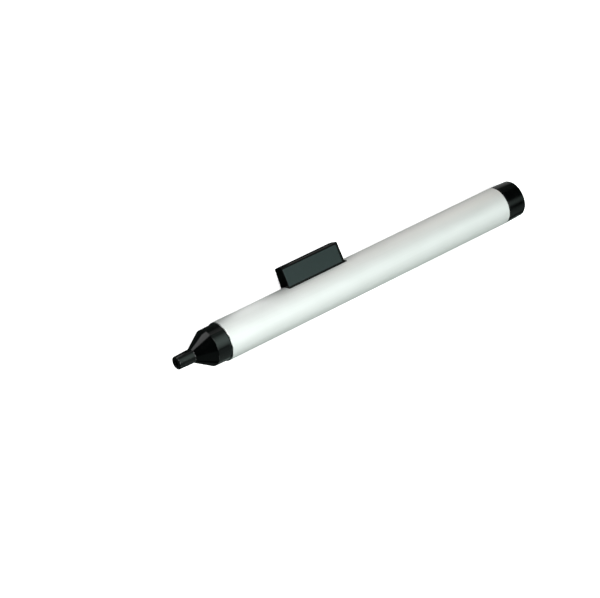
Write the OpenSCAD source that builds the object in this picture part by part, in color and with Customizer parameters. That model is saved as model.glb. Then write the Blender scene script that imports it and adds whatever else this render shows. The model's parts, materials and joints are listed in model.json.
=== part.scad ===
// Vacuum pick up pen: an aluminium barrel with a moulded nozzle and end cap. A bar-shaped button
// in the barrel's slot squeezes a rubber tube, which draws air back through the nozzle as it recovers.
// Every piece is drawn on the pen's axis, +X towards the end cap and +Z through the button, with X = 0
// at the barrel's front end. The rest pose then lays the pen down on its barrel and its button.

/* [Barrel] */
// Outside diameter of the barrel
barrel_d = 13; // [12.4:0.1:16]
// Length of the barrel
barrel_l = 118.3; // [95:0.1:150]
// Wall of the barrel
barrel_wall = 0.8; // [0.5:0.05:1.1]
// Edge break on the barrel's ends
barrel_edge = 0.2; // [0.05:0.05:0.4]

/* [Nozzle] */
// Diameter of the collar against the barrel
collar_d = 12.3; // [11.6:0.05:12.4]
// Diameter of the collar at its front edge
collar_front_d = 12.15; // [11:0.05:12.4]
// Length of the collar
collar_l = 5; // [2:0.1:10]
// Rounding of the collar's front edge
collar_edge = 0.2; // [0.1:0.05:1]
// Length of the cone between the collar and the tip
cone_l = 6.15; // [4:0.05:12]
// Diameter of the tip where the cone ends
tip_root_d = 4.65; // [4.2:0.05:5.4]
// Diameter of the tip at its end
tip_end_d = 4.3; // [3.6:0.05:5]
// Length of the tip
tip_l = 5.95; // [4:0.05:10]
// Fillet between the cone and the tip
tip_fillet = 0.6; // [0.2:0.05:1.5]
// Rounding of the tip's end
tip_edge = 0.45; // [0.1:0.05:0.7]
// Diameter of the air bore in the tip
air_d = 2; // [1:0.05:2.4]
// Length of the narrow part of the air bore
air_l = 14; // [8:0.1:20]
// Diameter of the wider bore behind it
air_rear_d = 3; // [2.4:0.05:3.4]
// Length of the nozzle's spigot inside the barrel
nozzle_spigot_l = 9; // [5:0.1:16]

/* [Squeeze tube] */
// Outside diameter of the rubber tube
tube_d = 7.6; // [7:0.05:8]
// Wall of the rubber tube
tube_wall = 1.3; // [0.8:0.05:1.6]
// Length of the rubber tube
tube_l = 63; // [60:0.5:90]
// Length of each barb inside the tube
barb_l = 8; // [6:0.1:10]
// Place of the barb's ridge, from the barb's root
ridge_x = 4.5; // [3:0.1:5]
// Height of the barb's ridge over its root
ridge_h = 0.4; // [0.1:0.05:0.6]
// How far the barb's point is drawn in under the tube's bore
point_draw = 0.2; // [0.05:0.05:0.4]
// Length over which the stretched tube climbs the ridge
ridge_ramp = 1.2; // [0.6:0.1:2]
// Thickness of the plug's head
plug_head_l = 3; // [1.5:0.1:6]

/* [Button] */
// Distance from the barrel's front end to the button's front face
button_x = 29; // [26:0.1:33]
// Length of the button's bar
button_l = 23.2; // [18:0.1:26]
// Height of the bar over the barrel
button_rise = 6.45; // [5:0.05:8]
// Thickness of the bar in the slot
button_t = 4.9; // [4.2:0.05:5.4]
// Thickness of the bar at its top
button_top_t = 4; // [3.4:0.05:4.8]
// Rounding of the bar's long top edges
button_edge = 0.7; // [0.1:0.05:1.2]
// Rounding of the bar's top edges at its front and rear
button_end_edge = 0.45; // [0.1:0.05:1.2]
// Rounding of the bar's front upright edges
button_front_edge = 0.3; // [0.1:0.05:1.2]
// Rounding of the bar's rear upright edges
button_rear_edge = 1; // [0.1:0.05:1.2]
// Width of the foot inside the barrel
foot_w = 7.2; // [6.4:0.05:7.6]
// How far the foot reaches past each end of the slot
foot_reach = 2; // [1:0.1:4]

/* [End cap] */
// Visible length of the end cap
cap_l = 7.5; // [4:0.1:14]
// Diameter of the end cap at its rear
cap_end_d = 12.4; // [11.6:0.05:12.4]
// Rounding of the cap's rear edge
cap_edge = 0.35; // [0.2:0.05:1.5]
// Edge break where the cap meets the barrel
cap_seam = 0.2; // [0.05:0.05:0.4]
// Length of the cap's spigot inside the barrel
cap_spigot_l = 8; // [5:0.1:14]
// Wall of the hollow spigot
cap_wall = 1.3; // [0.8:0.05:2]
// Thickness of the cap's end wall
cap_floor = 1.8; // [1.4:0.05:2.5]

/* [Clearances] */
// Gap between a spigot and the barrel's bore
spigot_gap = 0.03; // [0.01:0.01:0.1]
// Gap on each side of the bar in the slot
slot_side_gap = 0.15; // [0.05:0.05:0.3]
// Gap in front of the bar in the slot
slot_front_gap = 0.15; // [0.05:0.05:0.3]
// Gap behind the bar in the slot
slot_rear_gap = 0.5; // [0.3:0.05:1.5]
// Corner radius of the slot
slot_corner = 0.3; // [0.1:0.05:0.8]
// Gap between the foot and the barrel's bore at rest
foot_gap = 0.1; // [0.05:0.05:0.2]
// Gap between the foot and the rubber tube at rest
tube_gap = 0.1; // [0.05:0.05:0.2]
// Gap between the plug's head and the barrel's bore
plug_gap = 0.1; // [0.05:0.05:0.3]

/* [Hidden] */
$fn = 96;

// Steps in each rounded corner
corner_steps = 6;
// Rounding of the spigots' leading edges, for easy entry
lead_in = 0.5;
// How far a cutter runs past the face it cuts
overrun = 1;

barrel_r = barrel_d / 2;
bore_r = barrel_r - barrel_wall;
spigot_r = bore_r - spigot_gap;

cone_x = -collar_l;
tip_x = cone_x - cone_l;
front_x = tip_x - tip_l;
rear_x = barrel_l + cap_l;

tube_r = tube_d / 2;
tube_bore_r = tube_r - tube_wall;
tube_front_x = nozzle_spigot_l;
tube_rear_x = tube_front_x + tube_l;
// Along the barb, the place behind the ridge where the tube is back at its own bore
barb_clear_x = ridge_x + (barb_l - ridge_x) * ridge_h / (ridge_h + point_draw);

button_top = barrel_r + button_rise;
button_rear_x = button_x + button_l;
slot_x = button_x - slot_front_gap;
slot_rear_x = button_rear_x + slot_rear_gap;
slot_w = button_t + 2 * slot_side_gap;
foot_z = tube_r + tube_gap;
foot_r = bore_r - foot_gap;

// The pen lies on the barrel and on one rounded top edge of the button, so the button leans below level
draft = atan((button_t - button_top_t) / 2 / button_rise);
edge_y = button_top_t / 2 + button_edge * (tan(draft) - 1 / cos(draft));
edge_z = button_top - button_edge;
lean = asin((barrel_r - button_edge) / norm([edge_y, edge_z])) - atan(edge_y / edge_z);
reach_y = edge_z * cos(lean) + edge_y * sin(lean) + button_edge;

// Points of a corner at b, between a and c, rounded to the radius r
function unit(v) = v / norm(v);
function corner(a, b, c, r) =
    let (u = unit(a - b), v = unit(c - b), half = acos(u * v) / 2)
    let (centre = b + unit(u + v) * r / sin(half), turn = 180 - 2 * half)
    let (from = unit(b + u * r / tan(half) - centre), to = unit(b + v * r / tan(half) - centre))
    [for (i = [0 : corner_steps])
        let (t = turn * i / corner_steps)
        centre + r * (from * sin(turn - t) + to * sin(t)) / sin(turn)];

// A closed outline from points [x, y, r], each corner rounded to its own radius r
function rounded(p) = [
    for (i = [0 : len(p) - 1])
        let (a = p[(i + len(p) - 1) % len(p)], b = p[i], c = p[(i + 1) % len(p)])
        each (b[2] > 0 ? corner([a[0], a[1]], [b[0], b[1]], [c[0], c[1]], b[2]) : [[b[0], b[1]]])
];

// A barb's outline [x, r, 0] from its root at x to its point, towards the rear (way = 1) or the front (-1)
function barb(x, way) = [
    [x, tube_bore_r, 0],
    [x + way * ridge_x, tube_bore_r, 0],
    [x + way * ridge_x, tube_bore_r + ridge_h, 0],
    [x + way * barb_l, tube_bore_r - point_draw, 0]
];

// The tube's wall at the radius r, swollen where it is stretched over the ridge of the barb with its root at x
function swollen(x, way, r) = [
    [x, r],
    [x + way * (ridge_x - ridge_ramp), r],
    [x + way * ridge_x, r + ridge_h],
    [x + way * barb_clear_x, r]
];
function tube_wall_line(r) =
    let (rear = swollen(tube_rear_x, -1, r))
    concat(swollen(tube_front_x, 1, r), [for (i = [len(rear) - 1 : -1 : 0]) rear[i]]);

// A solid turned about the pen's axis from its outline [x, r]
module turned(outline) {
    rotate([0, 90, 0])
        rotate_extrude()
            polygon([for (p = outline) [p[1], p[0]]]);
}

// Lays a piece down as the pen comes to rest
module rest() {
    translate([-(front_x + rear_x) / 2, (barrel_r - reach_y) / 2, barrel_r])
        rotate([-(90 + lean), 0, 0])
            children();
}

// Drawn aluminium tube with a slot punched through its upper wall
module barrel() {
    color("#c9ccca") rest() difference() {
        turned([
            [0, bore_r],
            [0, barrel_r - barrel_edge],
            [barrel_edge, barrel_r],
            [barrel_l - barrel_edge, barrel_r],
            [barrel_l, barrel_r - barrel_edge],
            [barrel_l, bore_r]
        ]);
        linear_extrude(height = barrel_r + overrun)
            polygon(rounded([
                [slot_x, -slot_w / 2, slot_corner],
                [slot_rear_x, -slot_w / 2, slot_corner],
                [slot_rear_x, slot_w / 2, slot_corner],
                [slot_x, slot_w / 2, slot_corner]
            ]));
    }
}

// One moulding: tapered slip tip, cone, collar, spigot in the barrel, barb for the tube, air bore
module nozzle() {
    color("#17191a") rest() turned(rounded(concat(
        [
            [front_x, air_d / 2, 0],
            [front_x, tip_end_d / 2, tip_edge],
            [tip_x, tip_root_d / 2, tip_fillet],
            [cone_x, collar_front_d / 2, collar_edge],
            [0, collar_d / 2, 0],
            [0, spigot_r, 0],
            [nozzle_spigot_l, spigot_r, lead_in]
        ],
        barb(tube_front_x, 1),
        [
            [tube_front_x + barb_l, air_rear_d / 2, 0],
            [front_x + air_l, air_rear_d / 2, 0],
            [front_x + air_l, air_d / 2, 0]
        ]
    )));
}

// Rubber tube pushed over the nozzle's barb and the plug's barb
module squeeze_tube() {
    inner = tube_wall_line(tube_bore_r);
    outer = tube_wall_line(tube_r);
    color("#3a3632") rest() turned(concat(outer, [for (i = [len(inner) - 1 : -1 : 0]) inner[i]]));
}

// Stopper that closes the tube's rear end and keeps it in the middle of the barrel
module tube_plug() {
    plug_r = bore_r - plug_gap;
    plug_x = tube_rear_x + plug_head_l;
    color("#2a2c2e") rest() turned(rounded(concat(
        [[tube_rear_x - barb_l, 0, 0], [plug_x, 0, 0], [plug_x, plug_r, lead_in], [tube_rear_x, plug_r, lead_in]],
        barb(tube_rear_x, -1)
    )));
}

// Bar that the thumb presses, with a foot that hooks under the slot's edges and bears on the tube
module button() {
    color("#1c2021") rest() {
        intersection() {
            linear_extrude(height = button_top)
                polygon(rounded([
                    [button_x, -button_t / 2, button_front_edge],
                    [button_rear_x, -button_t / 2, button_rear_edge],
                    [button_rear_x, button_t / 2, button_rear_edge],
                    [button_x, button_t / 2, button_front_edge]
                ]));
            translate([button_x, 0, 0]) rotate([90, 0, 90]) linear_extrude(height = button_l)
                polygon(rounded([
                    [-button_t / 2, foot_z, 0],
                    [button_t / 2, foot_z, 0],
                    [button_t / 2, barrel_r, 0],
                    [button_top_t / 2, button_top, button_edge],
                    [-button_top_t / 2, button_top, button_edge],
                    [-button_t / 2, barrel_r, 0]
                ]));
            translate([0, button_t / 2, 0]) rotate([90, 0, 0]) linear_extrude(height = button_t)
                polygon(rounded([
                    [button_x, foot_z, 0],
                    [button_rear_x, foot_z, 0],
                    [button_rear_x, button_top, button_end_edge],
                    [button_x, button_top, button_end_edge]
                ]));
        }
        intersection() {
            turned([
                [slot_x - foot_reach, 0],
                [slot_x - foot_reach, foot_r],
                [slot_rear_x + foot_reach, foot_r],
                [slot_rear_x + foot_reach, 0]
            ]);
            translate([slot_x - foot_reach, -foot_w / 2, foot_z])
                cube([slot_rear_x - slot_x + 2 * foot_reach, foot_w, barrel_r]);
        }
    }
}

// Moulded plug for the rear end, flush with the barrel, hollow inside
module end_cap() {
    core_r = spigot_r - cap_wall;
    color("#131516") rest() turned(rounded([
        [barrel_l - cap_spigot_l, core_r, 0],
        [barrel_l - cap_spigot_l, spigot_r, lead_in],
        [barrel_l, spigot_r, 0],
        [barrel_l, barrel_r, cap_seam],
        [rear_x, cap_end_d / 2, cap_edge],
        [rear_x, 0, 0],
        [rear_x - cap_floor, 0, 0],
        [rear_x - cap_floor, core_r, 0]
    ]));
}

barrel();
nozzle();
squeeze_tube();
tube_plug();
button();
end_cap();
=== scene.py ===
# %% [markdown]
# A vacuum pick up pen, dressed around its solids.
# The real pen is a slim aluminium tube with a black nozzle in front, a black cap behind and a bar-shaped
# button that squeezes a rubber tube inside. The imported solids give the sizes, the places and the motion.
# This lesson makes a finer surface for each of them with numpy, gives each one its own finish, and sets
# up light and camera.

import json
import math

import bmesh
import bpy
import numpy as np
from mathutils import Matrix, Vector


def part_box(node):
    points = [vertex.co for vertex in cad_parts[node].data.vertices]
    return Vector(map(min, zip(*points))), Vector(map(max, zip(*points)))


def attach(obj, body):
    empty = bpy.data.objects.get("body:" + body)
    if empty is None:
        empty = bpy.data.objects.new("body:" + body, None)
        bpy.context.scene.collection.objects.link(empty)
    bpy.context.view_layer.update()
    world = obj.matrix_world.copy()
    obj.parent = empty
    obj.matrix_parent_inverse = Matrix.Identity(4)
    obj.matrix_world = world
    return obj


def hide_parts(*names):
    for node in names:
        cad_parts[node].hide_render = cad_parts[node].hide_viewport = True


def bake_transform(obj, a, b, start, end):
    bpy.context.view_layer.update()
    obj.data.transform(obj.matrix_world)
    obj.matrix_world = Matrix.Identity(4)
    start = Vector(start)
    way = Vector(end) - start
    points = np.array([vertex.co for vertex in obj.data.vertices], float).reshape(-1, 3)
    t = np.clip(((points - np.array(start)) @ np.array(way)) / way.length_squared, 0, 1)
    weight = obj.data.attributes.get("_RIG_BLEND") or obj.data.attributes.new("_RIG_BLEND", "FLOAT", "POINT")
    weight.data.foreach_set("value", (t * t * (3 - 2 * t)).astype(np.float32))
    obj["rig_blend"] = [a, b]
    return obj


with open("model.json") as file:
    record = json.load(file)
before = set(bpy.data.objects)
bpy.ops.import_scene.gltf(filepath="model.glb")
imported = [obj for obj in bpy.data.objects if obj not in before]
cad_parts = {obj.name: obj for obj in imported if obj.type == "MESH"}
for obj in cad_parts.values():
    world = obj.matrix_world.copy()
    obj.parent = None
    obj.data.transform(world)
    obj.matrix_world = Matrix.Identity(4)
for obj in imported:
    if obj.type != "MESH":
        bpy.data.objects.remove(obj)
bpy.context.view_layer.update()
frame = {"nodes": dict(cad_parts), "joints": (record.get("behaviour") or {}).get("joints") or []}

# %% [markdown]
# The pen lies on its barrel and on one edge of its button, so its own directions are turned in the world.
# All shapes are easier to think of on the pen's axis, in millimetres: x along the barrel from its front
# end, out through the button, and side square to both. The press joint gives the way in, so its opposite
# is out. One function then carries whole arrays of such points into the world, in metres.

# %% The pen's own directions
MM = 0.001
low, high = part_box("barrel")
ALONG = np.array((1.0, 0.0, 0.0))
OUT = -np.array(frame["joints"][0]["axis"])
OUT /= np.linalg.norm(OUT)
SIDE = np.cross(ALONG, OUT)
FRONT = np.array((low.x, (low.y + high.y) / 2, (low.z + high.z) / 2))


def in_pen(x, out, side):
    """World points in metres: the barrel's front end, plus each pen coordinate times its direction."""
    x, out, side = np.broadcast_arrays(x, out, side)
    return FRONT + MM * (x[..., None] * ALONG + out[..., None] * OUT + side[..., None] * SIDE)


def pen_box(node):
    """Lowest and highest (x, out, side) of a CAD node in mm: its points measured in the pen's directions."""
    mesh = frame["nodes"][node].data
    points = np.empty(len(mesh.vertices) * 3, np.float32)
    mesh.vertices.foreach_get("co", points)
    measured = (points.reshape(-1, 3) - FRONT) @ np.stack([ALONG, OUT, SIDE], axis=1) / MM
    return np.round(measured.min(axis=0), 2), np.round(measured.max(axis=0), 2)


_, barrel_high = pen_box("barrel")
nozzle_low, nozzle_high = pen_box("nozzle")
tube_low, tube_high = pen_box("squeeze_tube")
plug_low, plug_high = pen_box("tube_plug")
button_low, button_high = pen_box("button")
cap_low, cap_high = pen_box("end_cap")
barrel_r = barrel_high[2]
barrel_l = barrel_high[0]
print("barrel radius and length in mm:", barrel_r, barrel_l, "pen from", nozzle_low[0], "to", cap_high[0])

# %% [markdown]
# The camera is a long lens that looks down on the pen from its nozzle end, as in the photograph. It is
# described the way a photographer would check it: where the barrel's front end appears, and which way the
# barrel and the button point in the picture. Those two directions, as the camera sees them and as they
# are in the world, give the camera's turn by one matrix product, so nothing has to be aimed by eye.

# %% Camera
LENS_MM = 143.376
SENSOR_MM = 36.0
FRONT_SEEN_MM = np.array((-24.720, -13.250, -737.83))
ALONG_SEEN = np.array((0.7648, 0.3746, -0.5241))
OUT_SEEN = np.array((-0.344, 0.925, 0.160))
CLIP_START_M = 0.01

along_seen = ALONG_SEEN / np.linalg.norm(ALONG_SEEN)
out_seen = OUT_SEEN - along_seen * (OUT_SEEN @ along_seen)
out_seen /= np.linalg.norm(out_seen)
seen = np.stack([along_seen, out_seen, np.cross(along_seen, out_seen)], axis=1)
turn = np.stack([ALONG, OUT, SIDE], axis=1) @ seen.T
camera_matrix = np.eye(4)
camera_matrix[:3, :3] = turn
camera_matrix[:3, 3] = FRONT - turn @ (FRONT_SEEN_MM * MM)

camera = bpy.data.objects.new("camera", bpy.data.cameras.new("camera"))
bpy.context.scene.collection.objects.link(camera)
camera.data.lens = LENS_MM
camera.data.sensor_width = SENSOR_MM
camera.data.clip_start = CLIP_START_M
camera.data.dof.use_dof = False
camera.matrix_world = Matrix(camera_matrix.tolist())
bpy.context.scene.camera = camera
print("camera at", np.round(camera_matrix[:3, 3], 3), "looking along", np.round(-turn[:, 2], 3))

# %% [markdown]
# Materials are small node trees. Colours are written as sRGB hex values, the way a designer reads them
# off a chart, and one function turns them to the linear values that the shader works with. One more
# function adds a node: settings go to its properties, and inputs are given by name, either as a value or
# as a socket to link. A pattern's scale is one over its real size in metres, because one unit of Object
# coordinates is one metre.

# %% Colour and node helpers
def linear(hex_colour):
    """Linear RGBA of an sRGB hex colour: c / 12.92 below 0.04045, else ((c + 0.055) / 1.055) to the
    power 2.4."""
    c = np.array([int(hex_colour[i:i + 2], 16) for i in (1, 3, 5)]) / 255
    return (*np.where(c <= 0.04045, c / 12.92, ((c + 0.055) / 1.055) ** 2.4), 1.0)


def add(tree, kind, inputs=None, **settings):
    """Add one node, set its properties, and fill its inputs with values or links. An input is named, or
    numbered where names repeat: a colour Mix takes its factor at 0 and its colours at 6 and 7, and gives its
    result at output 2."""
    node = tree.nodes.new("ShaderNode" + kind)
    for name, value in settings.items():
        setattr(node, name, value)
    for name, value in (inputs or {}).items():
        if isinstance(value, bpy.types.NodeSocket):
            tree.links.new(value, node.inputs[name])
        else:
            node.inputs[name].default_value = value
    return node


def per_size(size_mm):
    """Texture scale that repeats a pattern at its real size."""
    return 1 / (size_mm * MM)


def new_material(name):
    """An empty material with its output node, and the Object coordinates that its patterns read."""
    material = bpy.data.materials.new(name)
    material.use_nodes = True
    tree = material.node_tree
    tree.nodes.clear()
    output = add(tree, "OutputMaterial")
    return material, tree, output, add(tree, "TexCoord").outputs["Object"]


print("mid grey in linear light:", np.round(linear("#808080"), 3))

# %% [markdown]
# The stage is a sheet of white paper in a dark studio. Black plastic only looks black where it mirrors
# something dark, and metal only looks silver where it mirrors something bright, so the pen needs both
# around it. The camera sees the paper and the room as white, so the pen stands before a pale ground from
# every side. To the pen itself the paper is dim, as if the light were flagged off it, and the glowing
# cards below do the rest.

# %% Paper floor
FLOOR_HALF_M = 3.0
PAPER_WHITE = "#f4f4f2"
PAPER_FLAGGED = "#2e3432"
PAPER_CLOUD_MM = 400
PAPER_GLOW = 0.85
PAPER_UNEVEN = 0.01

corner = np.array(((-1, -1, 0), (1, -1, 0), (1, 1, 0), (-1, 1, 0))) * FLOOR_HALF_M
sheet = bpy.data.meshes.new("paper_floor")
sheet.from_pydata(corner.tolist(), [], [(0, 1, 2, 3)])
floor = bpy.data.objects.new("paper_floor", sheet)
bpy.context.scene.collection.objects.link(floor)

# Card paper is matte and even, with a cloud in its tone so faint that the eye takes it for plain white.
paper, tree, output, spot = new_material("white_card_paper")
cloud = add(tree, "TexNoise", {"Vector": spot, "Scale": per_size(PAPER_CLOUD_MM), "Detail": 1.0})
path = add(tree, "LightPath")
tone = add(tree, "Mix", {
    0: path.outputs["Is Camera Ray"], 6: linear(PAPER_FLAGGED), 7: linear(PAPER_WHITE)}, data_type="RGBA")
even = add(tree, "MapRange", {
    "Value": cloud.outputs["Fac"], "To Min": PAPER_GLOW - PAPER_UNEVEN, "To Max": PAPER_GLOW})
glow = add(tree, "Math", {
    0: path.outputs["Is Camera Ray"], 1: even.outputs["Result"]}, operation="MULTIPLY")
shade = add(tree, "BsdfPrincipled", {
    "Base Color": tone.outputs[2], "Roughness": 0.7, "Specular IOR Level": 0.1,
    "Emission Color": linear("#ffffff"), "Emission Strength": glow.outputs["Value"]})
tree.links.new(shade.outputs["BSDF"], output.inputs["Surface"])
sheet.materials.append(paper)
print("paper floor", 2 * FLOOR_HALF_M, "m wide")

# %% Room
ROOM_DARK = "#101111"
ROOM_WHITE = "#ffffff"

room = bpy.data.worlds.new("room")
bpy.context.scene.world = room
room.use_nodes = True
tree = room.node_tree
path = add(tree, "LightPath")
backdrop = add(tree, "Mix", {
    0: path.outputs["Is Camera Ray"], 6: linear(ROOM_DARK), 7: linear(ROOM_WHITE)}, data_type="RGBA")
tree.links.new(backdrop.outputs[2], tree.nodes["Background"].inputs["Color"])
bpy.context.scene.view_settings.view_transform = "Standard"
print("room is", ROOM_WHITE, "to the camera and", ROOM_DARK, "to the pen")

# %% [markdown]
# The lights. The satin barrel catches light from a wide range of places, but a glossy plastic mirrors
# only what lies in one direction. So the bright softboxes stand where only thin edges mirror them to the
# camera: one overhead, two small ones low on the button's side and one far beyond the pen. They give the
# barrel its soft bands, and the plastics stay black. What the plastics do mirror is dim. Two softboxes
# that fade from the middle to the border are the sheens along the nozzle and the cap, a low one carries
# the nozzle's sheen a little further up, and two large panels beyond the pen keep the lower flanks off
# pure black. Nothing stands near the camera, and that keeps the middle of the cone black.

# %% Softboxes
COOL_WHITE = "#e6fff6"
NOZZLE_AT = (-0.06, 0.0, 0.0065)
COLLAR_AT = (-0.054, -0.003, 0.0065)


def softbox(name, place, size, radiance, aim=(0.0, 0.0, 0.0), along=(1.0, 0.0, 0.0), tint="#ffffff",
            fade=False):
    """A rectangle of light at a place, facing its aim, with its first side along a direction. Its power is
    radiance times pi times its area. One that fades is brightest in its middle and dark at its border: its
    strength is one less the distance from the middle, where the border's distance is one."""
    lamp = bpy.data.lights.new(name, "AREA")
    lamp.shape = "RECTANGLE"
    lamp.size, lamp.size_y = size
    lamp.energy = radiance * math.pi * size[0] * size[1]
    lamp.color = linear(tint)[:3]
    if fade:
        lamp.use_nodes = True
        tree = lamp.node_tree
        share = add(tree, "NewGeometry").outputs["Parametric"]
        centred = add(tree, "Mapping", {
            "Vector": share, "Location": (-1.0, -1.0, 0.0), "Scale": (2.0, 2.0, 1.0)})
        falloff = add(tree, "TexGradient", {"Vector": centred.outputs["Vector"]}, gradient_type="SPHERICAL")
        tree.links.new(falloff.outputs["Fac"], tree.nodes["Emission"].inputs["Strength"])
    box = bpy.data.objects.new(name, lamp)
    bpy.context.scene.collection.objects.link(box)
    away = np.array(place) - np.array(aim)
    away /= np.linalg.norm(away)
    across = np.array(along) - away * (away @ along)
    across /= np.linalg.norm(across)
    box_matrix = np.eye(4)
    box_matrix[:3, :3] = np.stack([across, np.cross(away, across), away], axis=1)
    box_matrix[:3, 3] = place
    box.matrix_world = Matrix(box_matrix.tolist())
    box.visible_camera = False
    print(name, "at", place, "radiance", radiance)


softbox("overhead_softbox", place=(0.0, 0.108, 0.95), size=(0.49, 0.59), radiance=7.1, tint="#fafffe")
softbox("nozzle_softbox", place=(0.203, 0.243, 0.377), size=(0.85, 0.26), radiance=1.85,
        along=(-0.05, -0.88, 0.47), tint=COOL_WHITE, fade=True)
softbox("cap_softbox", place=(0.355, 0.060, 0.404), size=(0.36, 0.20), radiance=0.95,
        along=(-0.09, -0.99, 0.05), tint=COOL_WHITE, fade=True)
softbox("left_softbox", place=(-0.08, 0.27, 0.15), size=(0.13, 0.13), radiance=5.7)
softbox("front_softbox", place=(-0.074, 0.118, 0.095), size=(0.05, 0.05), radiance=7.2, aim=COLLAR_AT)
softbox("low_softbox", place=(0.165, 0.385, 0.055), size=(0.12, 0.11), radiance=0.25, aim=NOZZLE_AT,
        tint=COOL_WHITE)
softbox("far_softbox", place=(0.13, -0.83, 0.72), size=(0.42, 0.42), radiance=5.25, tint="#f8fffa")
softbox("far_panel", place=(0.53, -0.67, 0.54), size=(1.45, 0.5), radiance=0.22,
        along=(0.0, -0.63, -0.78), tint=COOL_WHITE)
softbox("front_panel", place=(-0.37, -0.70, 0.75), size=(1.3, 0.5), radiance=0.07,
        along=(0.33, -0.78, -0.64), tint=COOL_WHITE)

# %% [markdown]
# A surface that faces the table can only be lit from the table, so glowing cards lie beside the pen. On
# the button's side, which is up in the picture, one is the grey band on the nozzle's cone and a dim one
# is the band on its collar. Three more, and two strips close to the barrel, light the barrel's upper
# flank from one end to the other, each with its own strength. One dim card on the other side greys the
# barrel's lower edge.

# %% Cards on the floor
CARD_Z = 0.0003


def card(name, x, y, size, radiance, tint="#ffffff"):
    """A softbox that lies just above the floor and faces straight up."""
    softbox(name, place=(x, y, CARD_Z), size=size, radiance=radiance, aim=(x, y, 1.0), tint=tint)


card("back_card", x=0.026, y=-0.067, size=(0.140, 0.106), radiance=0.35, tint=COOL_WHITE)
card("nozzle_card", x=-0.1012, y=0.049, size=(0.0776, 0.082), radiance=1.3)
card("collar_card", x=-0.0393, y=0.064, size=(0.0375, 0.090), radiance=0.2)
card("barrel_card", x=0.025, y=0.0596, size=(0.090, 0.100), radiance=0.72, tint="#fff8f5")
card("rear_card", x=0.085, y=0.090, size=(0.026, 0.080), radiance=9.5, tint="#fff0e8")
card("front_card", x=-0.0385, y=0.0140, size=(0.013, 0.0088), radiance=2.5)
card("front_strip", x=-0.039, y=0.0047, size=(0.016, 0.0094), radiance=0.3)
card("rear_strip", x=0.041, y=0.0047, size=(0.076, 0.0094), radiance=0.3)

# %% [markdown]
# Each piece of the pen is a surface over a grid: rows of points that close on themselves, one row after
# another. A turned piece carries its outline round the axis, and a moulded bar stacks rounded rectangles.
# One function makes the quads of such a grid, and one turns points and quads into an object: it welds the
# seams and poles, turns all faces outwards, and reports the enclosed volume and any open edge, which a
# closed solid has none of.

# %% Grid and mesh helpers
WELD_MM = 0.002
SHARP_DEGREES = 32


def grid_faces(rows, columns, closed):
    """Corner numbers of each quad between neighbouring rows. Columns always close, rows only when asked."""
    numbers = np.arange(rows * columns).reshape(rows, columns)
    if closed:
        numbers = np.vstack([numbers, numbers[:1]])
    right = np.roll(numbers, -1, axis=1)
    return np.stack([numbers[:-1], right[:-1], right[1:], numbers[1:]], axis=-1)


def new_piece(name, points, quads, materials, kinds=None):
    """A closed mesh in place, from quads and the points they use. Kinds choose each quad's material."""
    used, numbers = np.unique(quads, return_inverse=True)
    mesh = bpy.data.meshes.new(name)
    mesh.from_pydata(points.reshape(-1, 3)[used].tolist(), [], numbers.reshape(-1, 4).tolist())
    for material in materials:
        mesh.materials.append(material)
    if kinds is not None:
        mesh.polygons.foreach_set("material_index", kinds.ravel().astype(np.int32))
    shape = bmesh.new()
    shape.from_mesh(mesh)
    bmesh.ops.remove_doubles(shape, verts=shape.verts, dist=WELD_MM * MM)
    bmesh.ops.recalc_face_normals(shape, faces=shape.faces)
    volume = shape.calc_volume(signed=True) / MM**3
    open_edges = sum(not edge.is_manifold for edge in shape.edges)
    shape.to_mesh(mesh)
    shape.free()
    mesh.shade_smooth()
    mesh.set_sharp_from_angle(angle=math.radians(SHARP_DEGREES))
    piece = bpy.data.objects.new(name, mesh)
    bpy.context.scene.collection.objects.link(piece)
    weighted = piece.modifiers.new("even_shading", "WEIGHTED_NORMAL")
    weighted.keep_sharp = True
    print(f"{name}: {len(mesh.polygons)} faces, {volume:.1f} mm3, {open_edges} open edges")
    return piece


def rounded(corners, steps=6):
    """Closed line through (x, y, radius) corners. A corner with a radius becomes the arc that touches both
    its sides: its centre lies on the corner's bisector, and its points are blended from one touching point
    to the other by the sines of the angle still to go and the angle gone."""
    line = []
    spots = np.array([c[:2] for c in corners], float)
    for i, (_, _, radius) in enumerate(corners):
        if radius == 0:
            line.append(spots[i:i + 1])
            continue
        back = spots[i - 1] - spots[i]
        ahead = spots[(i + 1) % len(spots)] - spots[i]
        back, ahead = back / np.linalg.norm(back), ahead / np.linalg.norm(ahead)
        half = math.acos(back @ ahead) / 2
        bisector = (back + ahead) / np.linalg.norm(back + ahead)
        centre = spots[i] + bisector * radius / math.sin(half)
        first = spots[i] + back * radius / math.tan(half) - centre
        last = spots[i] + ahead * radius / math.tan(half) - centre
        sweep = math.pi - 2 * half
        gone = np.linspace(0, sweep, steps + 1)[:, None]
        line.append(centre + (first * np.sin(sweep - gone) + last * np.sin(gone)) / math.sin(sweep))
    return np.vstack(line)


def turned(outline, angles, lift=0.0):
    """Surface of revolution: the outline's (x, r) carried round the axis, with out = r cos a and
    side = r sin a. The lift is added to r."""
    x, r = outline.T
    r = r[:, None] + lift
    return in_pen(x[:, None], r * np.cos(angles), r * np.sin(angles))


ROUND_STEPS = 144
all_round = np.linspace(0, 2 * math.pi, ROUND_STEPS, endpoint=False)
print("a turned piece has", ROUND_STEPS, "facets round, so at the barrel they are",
      round(barrel_r * math.tau / ROUND_STEPS, 2), "mm wide")

# %% [markdown]
# The barrel's finish. It is drawn aluminium tube, blasted with fine glass beads and clear anodised. The
# beads leave tiny round dents that spread a highlight into a soft band, the drawing die leaves faint
# lines along the tube, and the anodic film is a little cloudy. The real dents are about 0.05 mm, too fine
# to show, so they are drawn at 0.22 mm. Cut edges were made after blasting, so they have their own,
# brighter finish.

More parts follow.
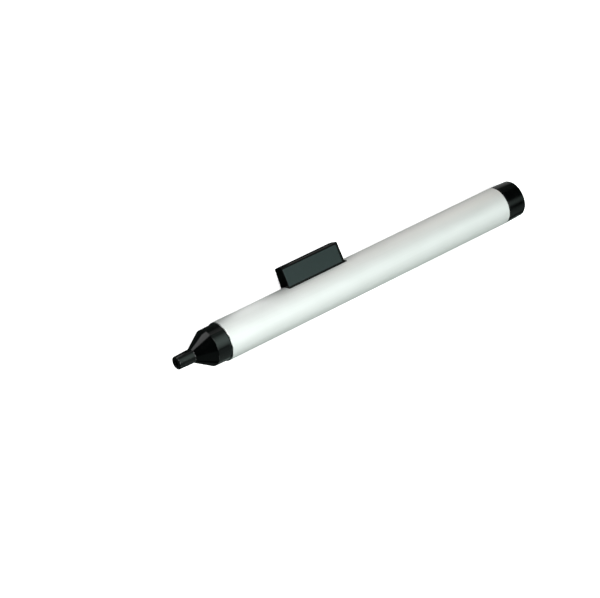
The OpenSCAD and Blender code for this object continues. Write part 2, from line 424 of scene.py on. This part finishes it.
# %% Barrel finishes
def blasted_anodised_aluminium():
    """Satin silver metal: a broad soft highlight, a fine grain, and faint streaks along the barrel."""
    material, tree, output, spot = new_material("blasted_anodised_aluminium")
    dents = add(tree, "TexNoise", {"Vector": spot, "Scale": per_size(0.22), "Detail": 2.0})
    stretched = add(tree, "Mapping", {"Vector": spot, "Scale": (0.015, 1.0, 1.0)})
    lines = add(tree, "TexNoise", {
        "Vector": stretched.outputs["Vector"], "Scale": per_size(0.5), "Detail": 3.0, "Roughness": 0.6})
    cloud = add(tree, "TexNoise", {"Vector": spot, "Scale": per_size(9), "Detail": 2.0})
    tone = add(tree, "Mix", {
        0: cloud.outputs["Fac"], 6: linear("#e9ebe9"), 7: linear("#eff0ef")}, data_type="RGBA")
    rough = add(tree, "MapRange", {
        "Value": lines.outputs["Fac"], "From Min": 0.3, "From Max": 0.7, "To Min": 0.68, "To Max": 0.76})
    bump = add(tree, "Bump", {"Height": dents.outputs["Fac"], "Strength": 0.25, "Distance": 0.01 * MM})
    shade = add(tree, "BsdfPrincipled", {
        "Base Color": tone.outputs[2], "Metallic": 1.0,
        "Roughness": rough.outputs["Result"], "Normal": bump.outputs["Normal"]})
    tree.links.new(shade.outputs["BSDF"], output.inputs["Surface"])
    return material


def cut_aluminium():
    """Freshly cut metal on the deburred edges: brighter and smoother, with fine tool marks across it."""
    material, tree, output, spot = new_material("cut_aluminium")
    marks = add(tree, "TexNoise", {"Vector": spot, "Scale": per_size(0.15), "Detail": 2.0})
    tone = add(tree, "Mix", {
        0: marks.outputs["Fac"], 6: linear("#d6d8d6"), 7: linear("#e4e5e3")}, data_type="RGBA")
    rough = add(tree, "MapRange", {"Value": marks.outputs["Fac"], "To Min": 0.2, "To Max": 0.34})
    shade = add(tree, "BsdfPrincipled", {
        "Base Color": tone.outputs[2], "Metallic": 1.0, "Roughness": rough.outputs["Result"]})
    tree.links.new(shade.outputs["BSDF"], output.inputs["Surface"])
    return material


barrel_finishes = [blasted_anodised_aluminium(), cut_aluminium()]
print("finishes:", [m.name for m in barrel_finishes])

# %% [markdown]
# The barrel is a thin tube with a slot punched through its wall. A cylinder with a boolean cut would
# leave long slivers and hard edges. Here the tube's whole section, outer wall, rear lip, inner wall and
# front lip, is one closed outline carried round the axis, with a window left open in the outer and in the
# inner wall. A sleeve of rounded loops then joins the two windows: it starts on the window's border,
# closes in on the slot, rolls over the outer edge as a punch leaves it, goes straight down and comes out
# at the inner border.

# %% Rounded loop round a slot or a bar
def rounded_loop(x0, x1, half, front_round, rear_round, long_steps, short_steps, arc_steps):
    """Closed loop round a rectangle from x0 to x1 and -half to half. Each of the four sides runs from the
    middle of one rounded corner to the middle of the next: half an arc, a straight line, half an arc.
    Returns x, side and the angle that each point faces."""
    centres = np.array((
        (x0 + front_round, -half + front_round), (x1 - rear_round, -half + rear_round),
        (x1 - rear_round, half - rear_round), (x0 + front_round, half - front_round)))
    rounds = (front_round, rear_round, rear_round, front_round)
    spots, facing = [], []
    for i, steps in enumerate((long_steps, short_steps, long_steps, short_steps)):
        face = (i - 1) * math.pi / 2
        after = (i + 1) % 4
        first = face + np.linspace(-math.pi / 4, 0, arc_steps, endpoint=False)
        last = face + np.linspace(0, math.pi / 4, arc_steps, endpoint=False)
        level = np.full(steps - 2 * arc_steps, face)
        share = np.linspace(0, 1, len(level), endpoint=False)[:, None]
        normal = np.array((math.cos(face), math.sin(face)))
        start, end = centres[i] + rounds[i] * normal, centres[after] + rounds[after] * normal
        spots += [
            centres[i] + rounds[i] * np.stack([np.cos(first), np.sin(first)], axis=1),
            start + share * (end - start),
            centres[after] + rounds[after] * np.stack([np.cos(last), np.sin(last)], axis=1)]
        facing += [first, level, last]
    return (*np.vstack(spots).T, np.concatenate(facing))


BAR_FRONT = 29.0
BAR_REAR = 52.2
BAR_HALF = 2.45
SLOT_GAP = 0.15
SLOT_REAR_GAP = 0.5
SLOT_FRONT = BAR_FRONT - SLOT_GAP
SLOT_REAR = BAR_REAR + SLOT_REAR_GAP
SLOT_HALF = BAR_HALF + SLOT_GAP
SLOT_ROUND = 0.3
print("slot", SLOT_FRONT, "to", SLOT_REAR, "mm from the front,", 2 * SLOT_HALF, "mm wide")

# %% Tube with a window
WALL = 0.8
END_EDGE = 0.2
BORE_EDGE = 0.1
WINDOW_MARGIN = 1.6
WINDOW_HALF = math.radians(40)
LONG_STEPS, SHORT_STEPS, ARC_STEPS = 44, 32, 5
REST_STEPS = 112
FRONT_ROWS = 10
REAR_ROWS = 22
BLASTED, CUT = 0, 1

bore_r = barrel_r - WALL
window_x = np.linspace(SLOT_FRONT - WINDOW_MARGIN, SLOT_REAR + WINDOW_MARGIN, LONG_STEPS + 1)
window_a = np.linspace(-WINDOW_HALF, WINDOW_HALF, SHORT_STEPS + 1)
rest_a = np.linspace(WINDOW_HALF, 2 * math.pi - WINDOW_HALF, REST_STEPS + 1)
barrel_a = np.concatenate([window_a, rest_a[1:-1]])
front_x = np.linspace(END_EDGE, window_x[0], FRONT_ROWS)[1:-1]
rear_x = np.linspace(window_x[-1], barrel_l - END_EDGE, REAR_ROWS)[1:-1]
wall_x = np.concatenate([front_x, window_x, rear_x])


def barrel_tube():
    """The tube without its window: a closed section of four lips and two walls, carried round the axis."""
    lips = rounded([
        (0, bore_r, BORE_EDGE), (0, barrel_r, END_EDGE),
        (barrel_l, barrel_r, END_EDGE), (barrel_l, bore_r, BORE_EDGE)]).reshape(4, -1, 2)
    outer = np.stack([wall_x, np.full_like(wall_x, barrel_r)], axis=1)
    inner = np.stack([wall_x[::-1], np.full_like(wall_x, bore_r)], axis=1)
    outline = np.vstack([lips[0], lips[1], outer, lips[2], lips[3], inner])
    lip_rows = 2 * lips.shape[1]
    kinds = np.full((len(outline), len(barrel_a)), BLASTED)
    kinds[:lip_rows - 1] = CUT
    kinds[lip_rows + len(outer):2 * lip_rows + len(outer) - 1] = CUT
    kept = np.ones_like(kinds, bool)
    for first in (lip_rows + len(front_x), 2 * lip_rows + len(outer) + len(rear_x)):
        kept[first:first + LONG_STEPS, :SHORT_STEPS] = False
    quads = grid_faces(len(outline), len(barrel_a), closed=True)
    return turned(outline, barrel_a).reshape(-1, 3), quads[kept], kinds[kept]


tube_part = barrel_tube()
print("tube:", len(tube_part[1]), "quads, with a window of", round(window_x[-1] - window_x[0], 2), "mm")

# %% Sleeve through the wall
PUNCH_ROLL = 0.16
PUNCH_BURR = 0.06
PUNCH_STEPS = 6
CLOSING_SHARES = np.array((0, 0.4, 0.75))


def slot_loop(offset, depth):
    """The slot's outline grown by offset, at a depth under the outer wall. The slot's sides are parallel, so
    a point's angle round the axis is the arc sine of its side over its radius. Rows are x, angle, radius."""
    x, side, _ = rounded_loop(
        SLOT_FRONT - offset, SLOT_REAR + offset, SLOT_HALF + offset,
        SLOT_ROUND + offset, SLOT_ROUND + offset, LONG_STEPS, SHORT_STEPS, ARC_STEPS)
    return np.stack([x, np.arcsin(side / (barrel_r - depth)), np.full_like(x, barrel_r - depth)])


def slot_sleeve():
    """Loops from the outer window's border, over the slot's edge, through the wall to the inner border."""
    border = np.stack([
        np.concatenate([window_x[:-1], np.full(SHORT_STEPS, window_x[-1]),
                        window_x[:0:-1], np.full(SHORT_STEPS, window_x[0])]),
        np.concatenate([np.full(LONG_STEPS, window_a[0]), window_a[:-1],
                        np.full(LONG_STEPS, window_a[-1]), window_a[:0:-1]])])
    outer_border = np.vstack([border, np.full((1, border.shape[1]), barrel_r)])
    inner_border = np.vstack([border, np.full((1, border.shape[1]), bore_r)])
    bend = np.linspace(0, math.pi / 2, PUNCH_STEPS)
    rolled = [
        slot_loop(PUNCH_ROLL * (1 - math.sin(b)), PUNCH_ROLL * (1 - math.cos(b))) for b in bend]
    burred = [
        slot_loop(PUNCH_BURR * (1 - math.cos(b)), WALL - PUNCH_BURR * (1 - math.sin(b))) for b in bend]
    closing = [outer_border + s * (rolled[0] - outer_border) for s in CLOSING_SHARES]
    opening = [inner_border + s * (burred[-1] - inner_border) for s in CLOSING_SHARES[::-1]]
    x, angle, r = np.stack(closing + rolled + burred + opening, axis=1)
    quads = grid_faces(*x.shape, closed=False)
    kinds = np.full(quads.shape[:2], BLASTED)
    kinds[len(closing):len(closing) + len(rolled) + len(burred) - 1] = CUT
    points = in_pen(x, r * np.cos(angle), r * np.sin(angle))
    return points.reshape(-1, 3), quads.reshape(-1, 4), kinds.ravel()


sleeve_part = slot_sleeve()
print("sleeve:", len(sleeve_part[1]), "quads")

# %% Barrel
def stand_for(piece, node, body):
    """The piece is shown in place of a CAD node and moves with its body."""
    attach(piece, body)
    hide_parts(node)


barrel = new_piece(
    "barrel_tube",
    np.vstack([tube_part[0], sleeve_part[0]]),
    np.vstack([tube_part[1], sleeve_part[1] + len(tube_part[0])]),
    barrel_finishes,
    np.concatenate([tube_part[2], sleeve_part[2]]))
stand_for(barrel, "barrel", "body")

# %% [markdown]
# The plastics. Nozzle, button, cap and plug are moulded from black ABS, and the mould's surface differs:
# semi-gloss for the nozzle, spark-eroded for the button's long sides, smooth for the rest of the button,
# polished for the cap and plainly machined for the plug. The button's long sides also get a lighter tone
# than the rest of the button. That tone is a painted sheen for the light that their grain catches. So one
# function makes them all, from two close tones, a range of roughness, the size and depth of the mould's
# grain, and how strongly the skin mirrors. ABS has an IOR of about 1.53. Black resin is never fully black:
# it keeps a trace of green in strong light.

# %% Black plastics
ABS_IOR = 1.53
BLACK_RESIN = ("#010202", "#030404")
# The satin sides' tone: the same green-black resin, made lighter as a painted sheen for the light they
# catch.
SATIN_RESIN_PAINTED_SHEEN = ("#122120", "#172827")
PLAIN_RESIN = ("#1b1c1d", "#242627")


def moulded_abs(name, tones, rough, grain_mm, depth_mm, flow_mm, specular=0.5):
    """Black ABS: grain from the mould in the bump and the roughness, and slow flow marks in the tone. The
    specular level is 0.5 where the skin mirrors as its IOR says, and less where it is dull."""
    material, tree, output, spot = new_material(name)
    grain = add(tree, "TexNoise", {"Vector": spot, "Scale": per_size(grain_mm), "Detail": 3.0})
    flow = add(tree, "TexNoise", {
        "Vector": spot, "Scale": per_size(flow_mm), "Detail": 2.0, "Distortion": 0.6})
    tone = add(tree, "Mix", {
        0: flow.outputs["Fac"], 6: linear(tones[0]), 7: linear(tones[1])}, data_type="RGBA")
    both = add(tree, "Math", {0: grain.outputs["Fac"], 1: flow.outputs["Fac"]}, operation="MULTIPLY")
    gloss = add(tree, "MapRange", {
        "Value": both.outputs["Value"], "From Min": 0.1, "From Max": 0.4,
        "To Min": rough[0], "To Max": rough[1]})
    bump = add(tree, "Bump", {"Height": grain.outputs["Fac"], "Strength": 0.5, "Distance": depth_mm * MM})
    shade = add(tree, "BsdfPrincipled", {
        "Base Color": tone.outputs[2], "Roughness": gloss.outputs["Result"], "IOR": ABS_IOR,
        "Specular IOR Level": specular, "Normal": bump.outputs["Normal"]})
    tree.links.new(shade.outputs["BSDF"], output.inputs["Surface"])
    return material


# Semi-gloss: a glowing card shows as a grey band with a soft edge on the cone.
nozzle_abs = moulded_abs(
    "semi_gloss_black_abs", BLACK_RESIN, rough=(0.10, 0.16), grain_mm=0.6, depth_mm=0.004, flow_mm=5)
# Satin: sparks leave a fine pitted grain, about 0.1 mm and drawn at 0.25 mm; its even grey is painted sheen.
satin_abs_painted_sheen = moulded_abs(
    "spark_eroded_black_abs_painted_sheen", SATIN_RESIN_PAINTED_SHEEN, rough=(0.44, 0.56), grain_mm=0.25, depth_mm=0.02, flow_mm=4,
    specular=0.32)
# Smooth but dull: it mirrors little, so the button's ends look black and its satin sides get a dark border.
smooth_abs = moulded_abs(
    "smooth_black_abs", BLACK_RESIN, rough=(0.14, 0.22), grain_mm=0.8, depth_mm=0.004, flow_mm=5,
    specular=0.15)
# Gloss: a polished tool leaves only a faint waviness, so streaks of light run along the cap.
cap_abs = moulded_abs(
    "polished_black_abs", BLACK_RESIN, rough=(0.14, 0.20), grain_mm=1.5, depth_mm=0.004, flow_mm=6)
# Matte: a plain machined tool, inside where nobody looks.
plug_abs = moulded_abs(
    "matte_black_abs", PLAIN_RESIN, rough=(0.5, 0.65), grain_mm=0.4, depth_mm=0.02, flow_mm=3)
print("plastics:", [m.name for m in (nozzle_abs, satin_abs_painted_sheen, smooth_abs, cap_abs, plug_abs)])

# %% [markdown]
# The nozzle is one moulding: a slim tip with a 6 percent taper, a cone, a collar against the barrel, and
# inside a spigot, a barb for the rubber tube and the air bore. A lathe profile with rounded corners gives
# all of it. Where the two halves of its mould met, a hair-thin ridge runs along the outside, in line with
# the button and again opposite it. So the surface gets a small lift at two angles, with columns of points
# close together only there: the lift is a bell curve over the distance from the parting line.

# %% Nozzle outline
TIP_END_R = 2.15
TIP_ROOT_R = 2.325
TIP_ROOT_X = -11.15
COLLAR_X = -5.0
COLLAR_FRONT_R = 6.075
AIR_R = 1.0
AIR_REAR_R = 1.5
AIR_REAR_X = -3.1
SPIGOT_GAP = 0.03
SPIGOT_L = 9.0
LEAD_IN = 0.5
BARB_R = 2.5
BARB_L = 8.0
RIDGE_AT = 4.5
RIDGE_H = 0.4
POINT_R = 2.3
AIR_EDGE = 0.15
TIP_EDGE = 0.3
ROOT_ROUND = 0.3
COLLAR_EDGE = 0.08
RIDGE_EDGE = 0.1
POINT_EDGE = 0.3

spigot_r = bore_r - SPIGOT_GAP
nozzle_line = rounded([
    (nozzle_low[0], AIR_R, AIR_EDGE),
    (nozzle_low[0], TIP_END_R, TIP_EDGE),
    (TIP_ROOT_X, TIP_ROOT_R, ROOT_ROUND),
    (COLLAR_X, COLLAR_FRONT_R, COLLAR_EDGE),
    (0, nozzle_high[2], COLLAR_EDGE),
    (0, spigot_r, 0),
    (SPIGOT_L, spigot_r, LEAD_IN),
    (SPIGOT_L, BARB_R, 0),
    (SPIGOT_L + RIDGE_AT, BARB_R, 0),
    (SPIGOT_L + RIDGE_AT, BARB_R + RIDGE_H, RIDGE_EDGE),
    (nozzle_high[0], POINT_R, POINT_EDGE),
    (nozzle_high[0], AIR_REAR_R, 0),
    (AIR_REAR_X, AIR_REAR_R, 0),
    (AIR_REAR_X, AIR_R, 0)])
print("nozzle outline:", len(nozzle_line), "points from x =", nozzle_low[0], "to", nozzle_high[0], "mm")

# %% Nozzle
PARTING_H = 0.02
PARTING_W = 0.09
PARTING_DEGREES = 4
PARTING_COLUMNS = 21
TIP_RIM = 0.2

parting_a = np.radians(np.linspace(-PARTING_DEGREES, PARTING_DEGREES, PARTING_COLUMNS))
nozzle_a = np.unique(np.round(np.concatenate([all_round, parting_a % math.tau, parting_a + math.pi]), 6))
x, r = nozzle_line.T
outside = (x < 0) & (r > TIP_END_R - TIP_RIM)
off_line = (nozzle_a + math.pi / 2) % math.pi - math.pi / 2
parting = PARTING_H * outside[:, None] * np.exp(-(off_line * r[:, None] / PARTING_W) ** 2)
nozzle = new_piece(
    "nozzle_moulding", turned(nozzle_line, nozzle_a, parting),
    grid_faces(len(nozzle_line), len(nozzle_a), closed=True), [nozzle_abs])
stand_for(nozzle, "nozzle", "body")

# %% [markdown]
# The end cap is a hollow plug, flush with the barrel, with a small break at the seam that shows as a dark
# line. Its rear edge is only a little rounded. In the middle of its rear face is the dimple where the
# plastic came in. Its outline starts on the axis inside and ends on the axis outside, so the surface
# closes at two poles.

# %% End cap
CAP_END_R = 6.2
CAP_WALL = 1.3
CAP_FLOOR = 1.8
CORE_ROUND = 0.4
MOUTH_EDGE = 0.15
SEAM_EDGE = 0.2
CAP_EDGE = 0.35
GATE_R = 0.9
GATE_SLOPE = 0.15
GATE_DEPTH = 0.18
GATE_EDGE = 0.08

core_r = spigot_r - CAP_WALL
cap_line = rounded([
    (cap_high[0] - CAP_FLOOR, 0, 0),
    (cap_high[0] - CAP_FLOOR, core_r, CORE_ROUND),
    (cap_low[0], core_r, MOUTH_EDGE),
    (cap_low[0], spigot_r, LEAD_IN),
    (barrel_l, spigot_r, 0),
    (barrel_l, barrel_r, SEAM_EDGE),
    (cap_high[0], CAP_END_R, CAP_EDGE),
    (cap_high[0], GATE_R + GATE_SLOPE, GATE_EDGE),
    (cap_high[0] - GATE_DEPTH, GATE_R, GATE_EDGE),
    (cap_high[0] - GATE_DEPTH, 0, 0)])
cap = new_piece(
    "end_cap_moulding", turned(cap_line, all_round),
    grid_faces(len(cap_line), ROUND_STEPS, closed=False), [cap_abs])
stand_for(cap, "end_cap", "body")

# %% [markdown]
# The button is a bar that stands out of the slot, with a wider foot inside that hooks under the slot's
# edges. It could be two boxes with bevels, but then the foot would only pass through the bar. Here
# rounded loops are stacked from the foot's flat bottom to the bar's top: in over the foot's arched back,
# up with a few degrees of draft, and over the top edges, which are rounder along the bar than across it.
# Both ends close on a short line. The long sides are satin, with a painted sheen in their lighter tone, and
# the rest is smooth, so each face takes its finish from where its middle lies.

# %% Outline of the bar
BAR_TOP_HALF = 2.0
FRONT_EDGE = 0.15
REAR_EDGE = 0.6
BAR_STEPS = (48, 16, 4)

foot_z, bar_top = button_low[1], button_high[1]


def bar_loop(height):
    """The bar's outline at a height: upright in the slot, and above the barrel narrower by its draft."""
    rise = max(0.0, (height - barrel_r) / (bar_top - barrel_r))
    half = BAR_HALF + rise * (BAR_TOP_HALF - BAR_HALF)
    return rounded_loop(BAR_FRONT, BAR_REAR, half, FRONT_EDGE, REAR_EDGE, *BAR_STEPS)


def spine(x, half, height):
    """The line along the middle of a loop, on which a flat end closes."""
    return np.stack([np.clip(x, x.min() + half, x.max() - half), 0 * x, np.full_like(x, height)])


print("bar", round(BAR_REAR - BAR_FRONT, 2), "mm long, rising", round(bar_top - barrel_r, 2), "mm")

# %% Rows of the button
FOOT_GAP = 0.1
FOOT_R = bore_r - FOOT_GAP
FOOT_EDGE = 0.15
FOOT_CORNER = 0.4
LONG_TOP_EDGE = 0.7
END_TOP_EDGE = 0.3
TOP_ZONE = 1.5
FOOT_ROWS, ARCH_ROWS, SIDE_ROWS, TOP_ROWS = 5, 5, 4, 8


def button_rows():
    """Loops (x, side, height) from the middle of the foot's bottom to the middle of the bar's top."""
    x, side, faces = rounded_loop(
        button_low[0], button_high[0], button_high[2], FOOT_CORNER, FOOT_CORNER, *BAR_STEPS)
    rows = [spine(x, button_high[2], foot_z)]
    for bend in np.linspace(0, math.pi / 2, FOOT_ROWS):
        inset = FOOT_EDGE * (1 - math.sin(bend))
        height = foot_z + FOOT_EDGE * (1 - math.cos(bend))
        rows.append(np.stack([
            x - inset * np.cos(faces), side - inset * np.sin(faces), np.full_like(x, height)]))
    bar_x, bar_side, _ = bar_loop(barrel_r)
    for share in np.linspace(0, 1, ARCH_ROWS):
        arched = side + share * (bar_side - side)
        rows.append(np.stack([x + share * (bar_x - x), arched, np.sqrt(FOOT_R**2 - arched**2)]))
    for height in np.linspace(barrel_r, bar_top - TOP_ZONE, SIDE_ROWS):
        bar_x, bar_side, _ = bar_loop(height)
        rows.append(np.stack([bar_x, bar_side, np.full_like(bar_x, height)]))
    bar_x, bar_side, faces = bar_loop(bar_top - LONG_TOP_EDGE)
    middle = (BAR_FRONT + BAR_REAR) / 2
    half_l = (BAR_REAR - BAR_FRONT) / 2
    half_w = bar_side.max()
    edge = LONG_TOP_EDGE * np.sin(faces) ** 2 + END_TOP_EDGE * np.cos(faces) ** 2
    for bend in np.linspace(0, math.pi / 2, TOP_ROWS):
        shorter = 1 - END_TOP_EDGE * (1 - math.cos(bend)) / half_l
        slimmer = 1 - LONG_TOP_EDGE * (1 - math.cos(bend)) / half_w
        height = bar_top - edge * (1 - math.sin(bend))
        rows.append(np.stack([middle + (bar_x - middle) * shorter, bar_side * slimmer, height]))
    rows.append(spine(rows[-1][0], half_w - LONG_TOP_EDGE, bar_top))
    return np.stack(rows, axis=1)


button_grid = button_rows()
print("button:", button_grid.shape[1], "loops of", button_grid.shape[2], "points")

# %% Button
SATIN_HALF = 1.9
SATIN_START = 0.5
SMOOTH_BORDER = 0.75

x, side, height = button_grid
button_quads = grid_faces(*x.shape, closed=False)
face_x, face_side, face_height = button_grid.reshape(3, -1)[:, button_quads].mean(axis=-1)
# The satin faces: spark-eroded grain and a lighter tone that is painted sheen, with a smooth black border
# left round them.
satin_with_painted_sheen = np.abs(face_side) > SATIN_HALF
satin_with_painted_sheen &= (face_height > barrel_r - SATIN_START) & (face_height < bar_top - LONG_TOP_EDGE)
satin_with_painted_sheen &= (face_x > BAR_FRONT + FRONT_EDGE) & (face_x < BAR_REAR - REAR_EDGE - SMOOTH_BORDER)
button = new_piece("button_bar", in_pen(x, height, side), button_quads, [smooth_abs, satin_abs_painted_sheen], satin_with_painted_sheen)
stand_for(button, "button", "button")

# %% [markdown]
# Inside, a rubber tube is pushed over the nozzle's barb and over the barb of a plug at its rear end. It
# swells over both ridges. Its wall is a straight line with two bumps, worked out by interpolation between
# a few places, and the same line shifted in by the wall's thickness is its bore. The rubber is extruded,
# matte and a little dusty with the chalk that keeps it from sticking.

# %% Rubber finish
RUBBER_IOR = 1.52


def extruded_rubber():
    """Matte black rubber: fine lines along the tube from the die, and a pale bloom of chalk in patches."""
    material, tree, output, spot = new_material("extruded_black_rubber")
    stretched = add(tree, "Mapping", {"Vector": spot, "Scale": (0.04, 1.0, 1.0)})
    lines = add(tree, "TexNoise", {
        "Vector": stretched.outputs["Vector"], "Scale": per_size(0.4), "Detail": 2.0})
    bloom = add(tree, "TexNoise", {"Vector": spot, "Scale": per_size(2.5), "Detail": 5.0, "Roughness": 0.7})
    dusty = add(tree, "MapRange", {"Value": bloom.outputs["Fac"], "From Min": 0.45, "From Max": 0.75})
    tone = add(tree, "Mix", {
        0: dusty.outputs["Result"], 6: linear("#1c1a18"), 7: linear("#3b3936")}, data_type="RGBA")
    bump = add(tree, "Bump", {"Height": lines.outputs["Fac"], "Strength": 0.4, "Distance": 0.03 * MM})
    shade = add(tree, "BsdfPrincipled", {
        "Base Color": tone.outputs[2], "Roughness": 0.78, "IOR": RUBBER_IOR,
        "Normal": bump.outputs["Normal"]})
    tree.links.new(shade.outputs["BSDF"], output.inputs["Surface"])
    return material


rubber = extruded_rubber()
print("finish:", rubber.name)

# %% Squeeze tube
TUBE_R = 3.8
RIDGE_RAMP = 1.2
TUBE_ROWS = 90

tube_front, tube_rear = tube_low[0], tube_high[0]
clear_at = RIDGE_AT + (BARB_L - RIDGE_AT) * RIDGE_H / (BARB_R + RIDGE_H - POINT_R)
bump_at = np.array((RIDGE_AT - RIDGE_RAMP, RIDGE_AT, clear_at))
knots = np.concatenate([tube_front + bump_at, tube_rear - bump_at[::-1]])
tube_x = np.union1d(np.linspace(tube_front, tube_rear, TUBE_ROWS), knots)
swell = np.interp(tube_x, knots, np.array((0, RIDGE_H, 0, 0, RIDGE_H, 0)))
tube_line = np.vstack([
    np.stack([tube_x, TUBE_R + swell], axis=1),
    np.stack([tube_x, BARB_R + swell], axis=1)[::-1]])
tube = new_piece(
    "rubber_tube", turned(tube_line, all_round),
    grid_faces(len(tube_line), ROUND_STEPS, closed=True), [rubber])

# %% [markdown]
# When the button goes in, its foot flattens the middle of the tube while the ends stay on their barbs.
# The tube therefore blends between two bodies: its underside stays with the pen, its top follows the
# button. The blend alone would press the whole length down, so its weight is multiplied by a smooth rise
# and fall under the foot.

# %% Squeeze
PRESS_RUN = 8.0

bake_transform(tube, "body", "button", start=in_pen(0, -TUBE_R, 0), end=in_pen(0, TUBE_R, 0))
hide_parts("squeeze_tube")
weights = tube.data.attributes["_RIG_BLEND"].data
share = np.empty(len(weights), np.float32)
weights.foreach_get("value", share)
spots = np.empty(len(tube.data.vertices) * 3, np.float32)
tube.data.vertices.foreach_get("co", spots)
x = (spots.reshape(-1, 3)[:, 0] - FRONT[0]) / MM
inside = np.minimum(x - button_low[0], button_high[0] - x) + PRESS_RUN
reach = np.clip(inside / PRESS_RUN, 0, 1)
weights.foreach_set("value", (share * reach**2 * (3 - 2 * reach)).astype(np.float32))
print("the tube is pressed from x =", button_low[0] - PRESS_RUN, "to", button_high[0] + PRESS_RUN, "mm")

# %% [markdown]
# The plug closes the tube's rear end with the same kind of barb and keeps the tube in the middle of the
# barrel.

# %% Tube plug
PLUG_HEAD_L = 3.0

head_x = plug_high[0] - PLUG_HEAD_L
plug_line = rounded([
    (plug_low[0], 0, 0),
    (plug_low[0], POINT_R, POINT_EDGE),
    (head_x - RIDGE_AT, BARB_R + RIDGE_H, RIDGE_EDGE),
    (head_x - RIDGE_AT, BARB_R, 0),
    (head_x, BARB_R, 0),
    (head_x, plug_high[2], LEAD_IN),
    (plug_high[0], plug_high[2], LEAD_IN),
    (plug_high[0], 0, 0)])
plug = new_piece(
    "tube_stopper", turned(plug_line, all_round),
    grid_faces(len(plug_line), ROUND_STEPS, closed=False), [plug_abs])
stand_for(plug, "tube_plug", "body")
